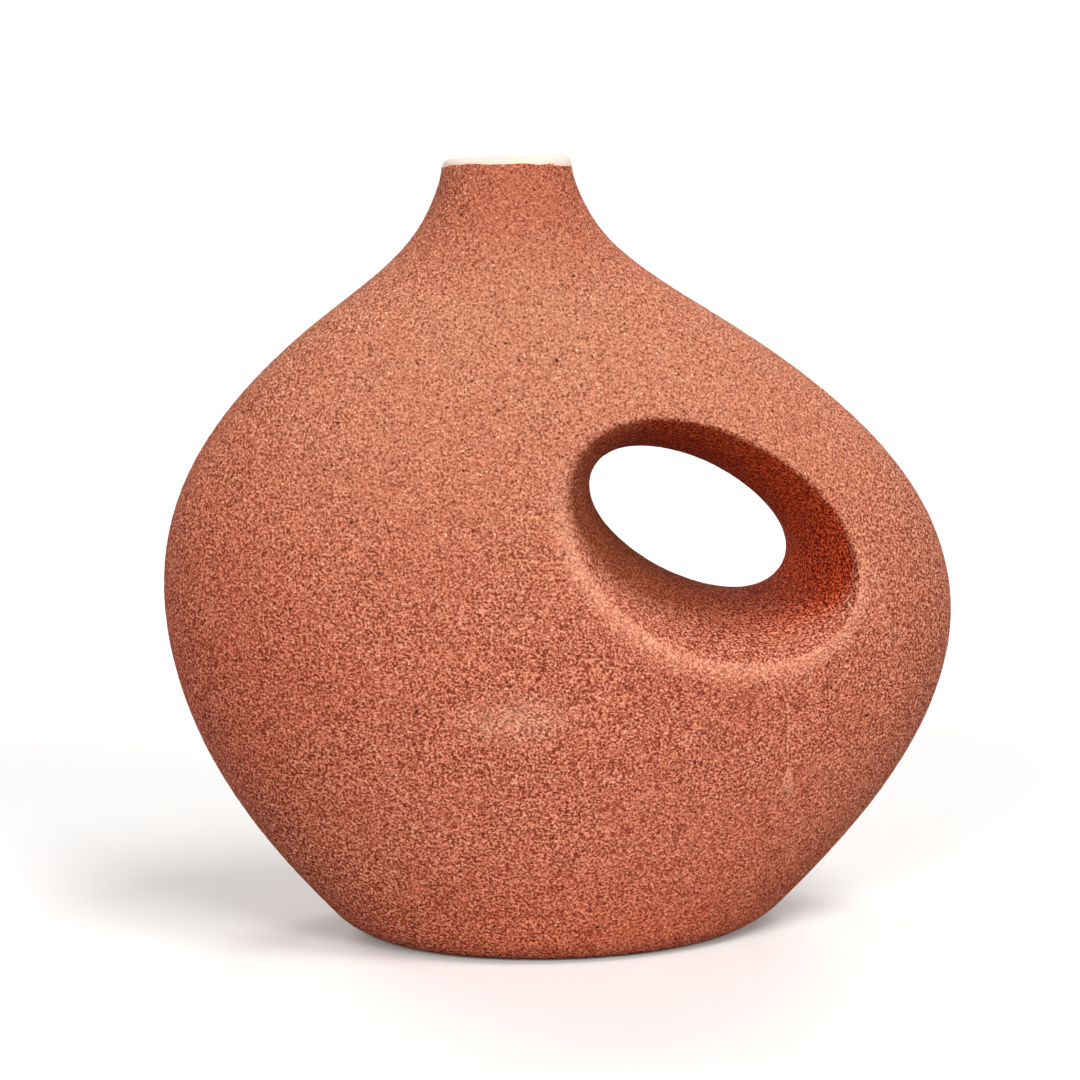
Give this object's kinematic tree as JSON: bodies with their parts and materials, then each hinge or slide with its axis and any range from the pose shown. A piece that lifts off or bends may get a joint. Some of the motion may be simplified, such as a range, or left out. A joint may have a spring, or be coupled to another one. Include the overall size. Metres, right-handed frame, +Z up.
{
  "type": "ceramic pitcher vase",
  "caption": "Flattened round ceramic pitcher vase with a narrow off-centre neck and a slanted oval finger hole through its shoulder, coated in gritty terracotta.",
  "frame": {"origin": "on the floor, midway between the two sides of the belly, on the plane of the seam", "axes": "+Z up, +X towards the side with the finger hole, -Y towards the viewer of the picture; the hole runs along Y"},
  "size_m": [0.2502, 0.1084, 0.2418],
  "materials": {
    "clay": "matte, hidden under the coat and the glaze",
    "bare_clay": "matte unglazed foot",
    "gritty_coat": "matte, sandy grain with pale, brown and black specks",
    "cream_glaze": "satin"
  },
  "bodies": {
    "root": {"front_shell": "clay", "back_shell": "clay", "base_slab": "bare_clay", "neck_collar": "clay", "hole_sleeve": "clay", "seam_coils": "clay", "outer_coat": "gritty_coat", "liner_glaze": "cream_glaze"}
  },
  "joints": []
}
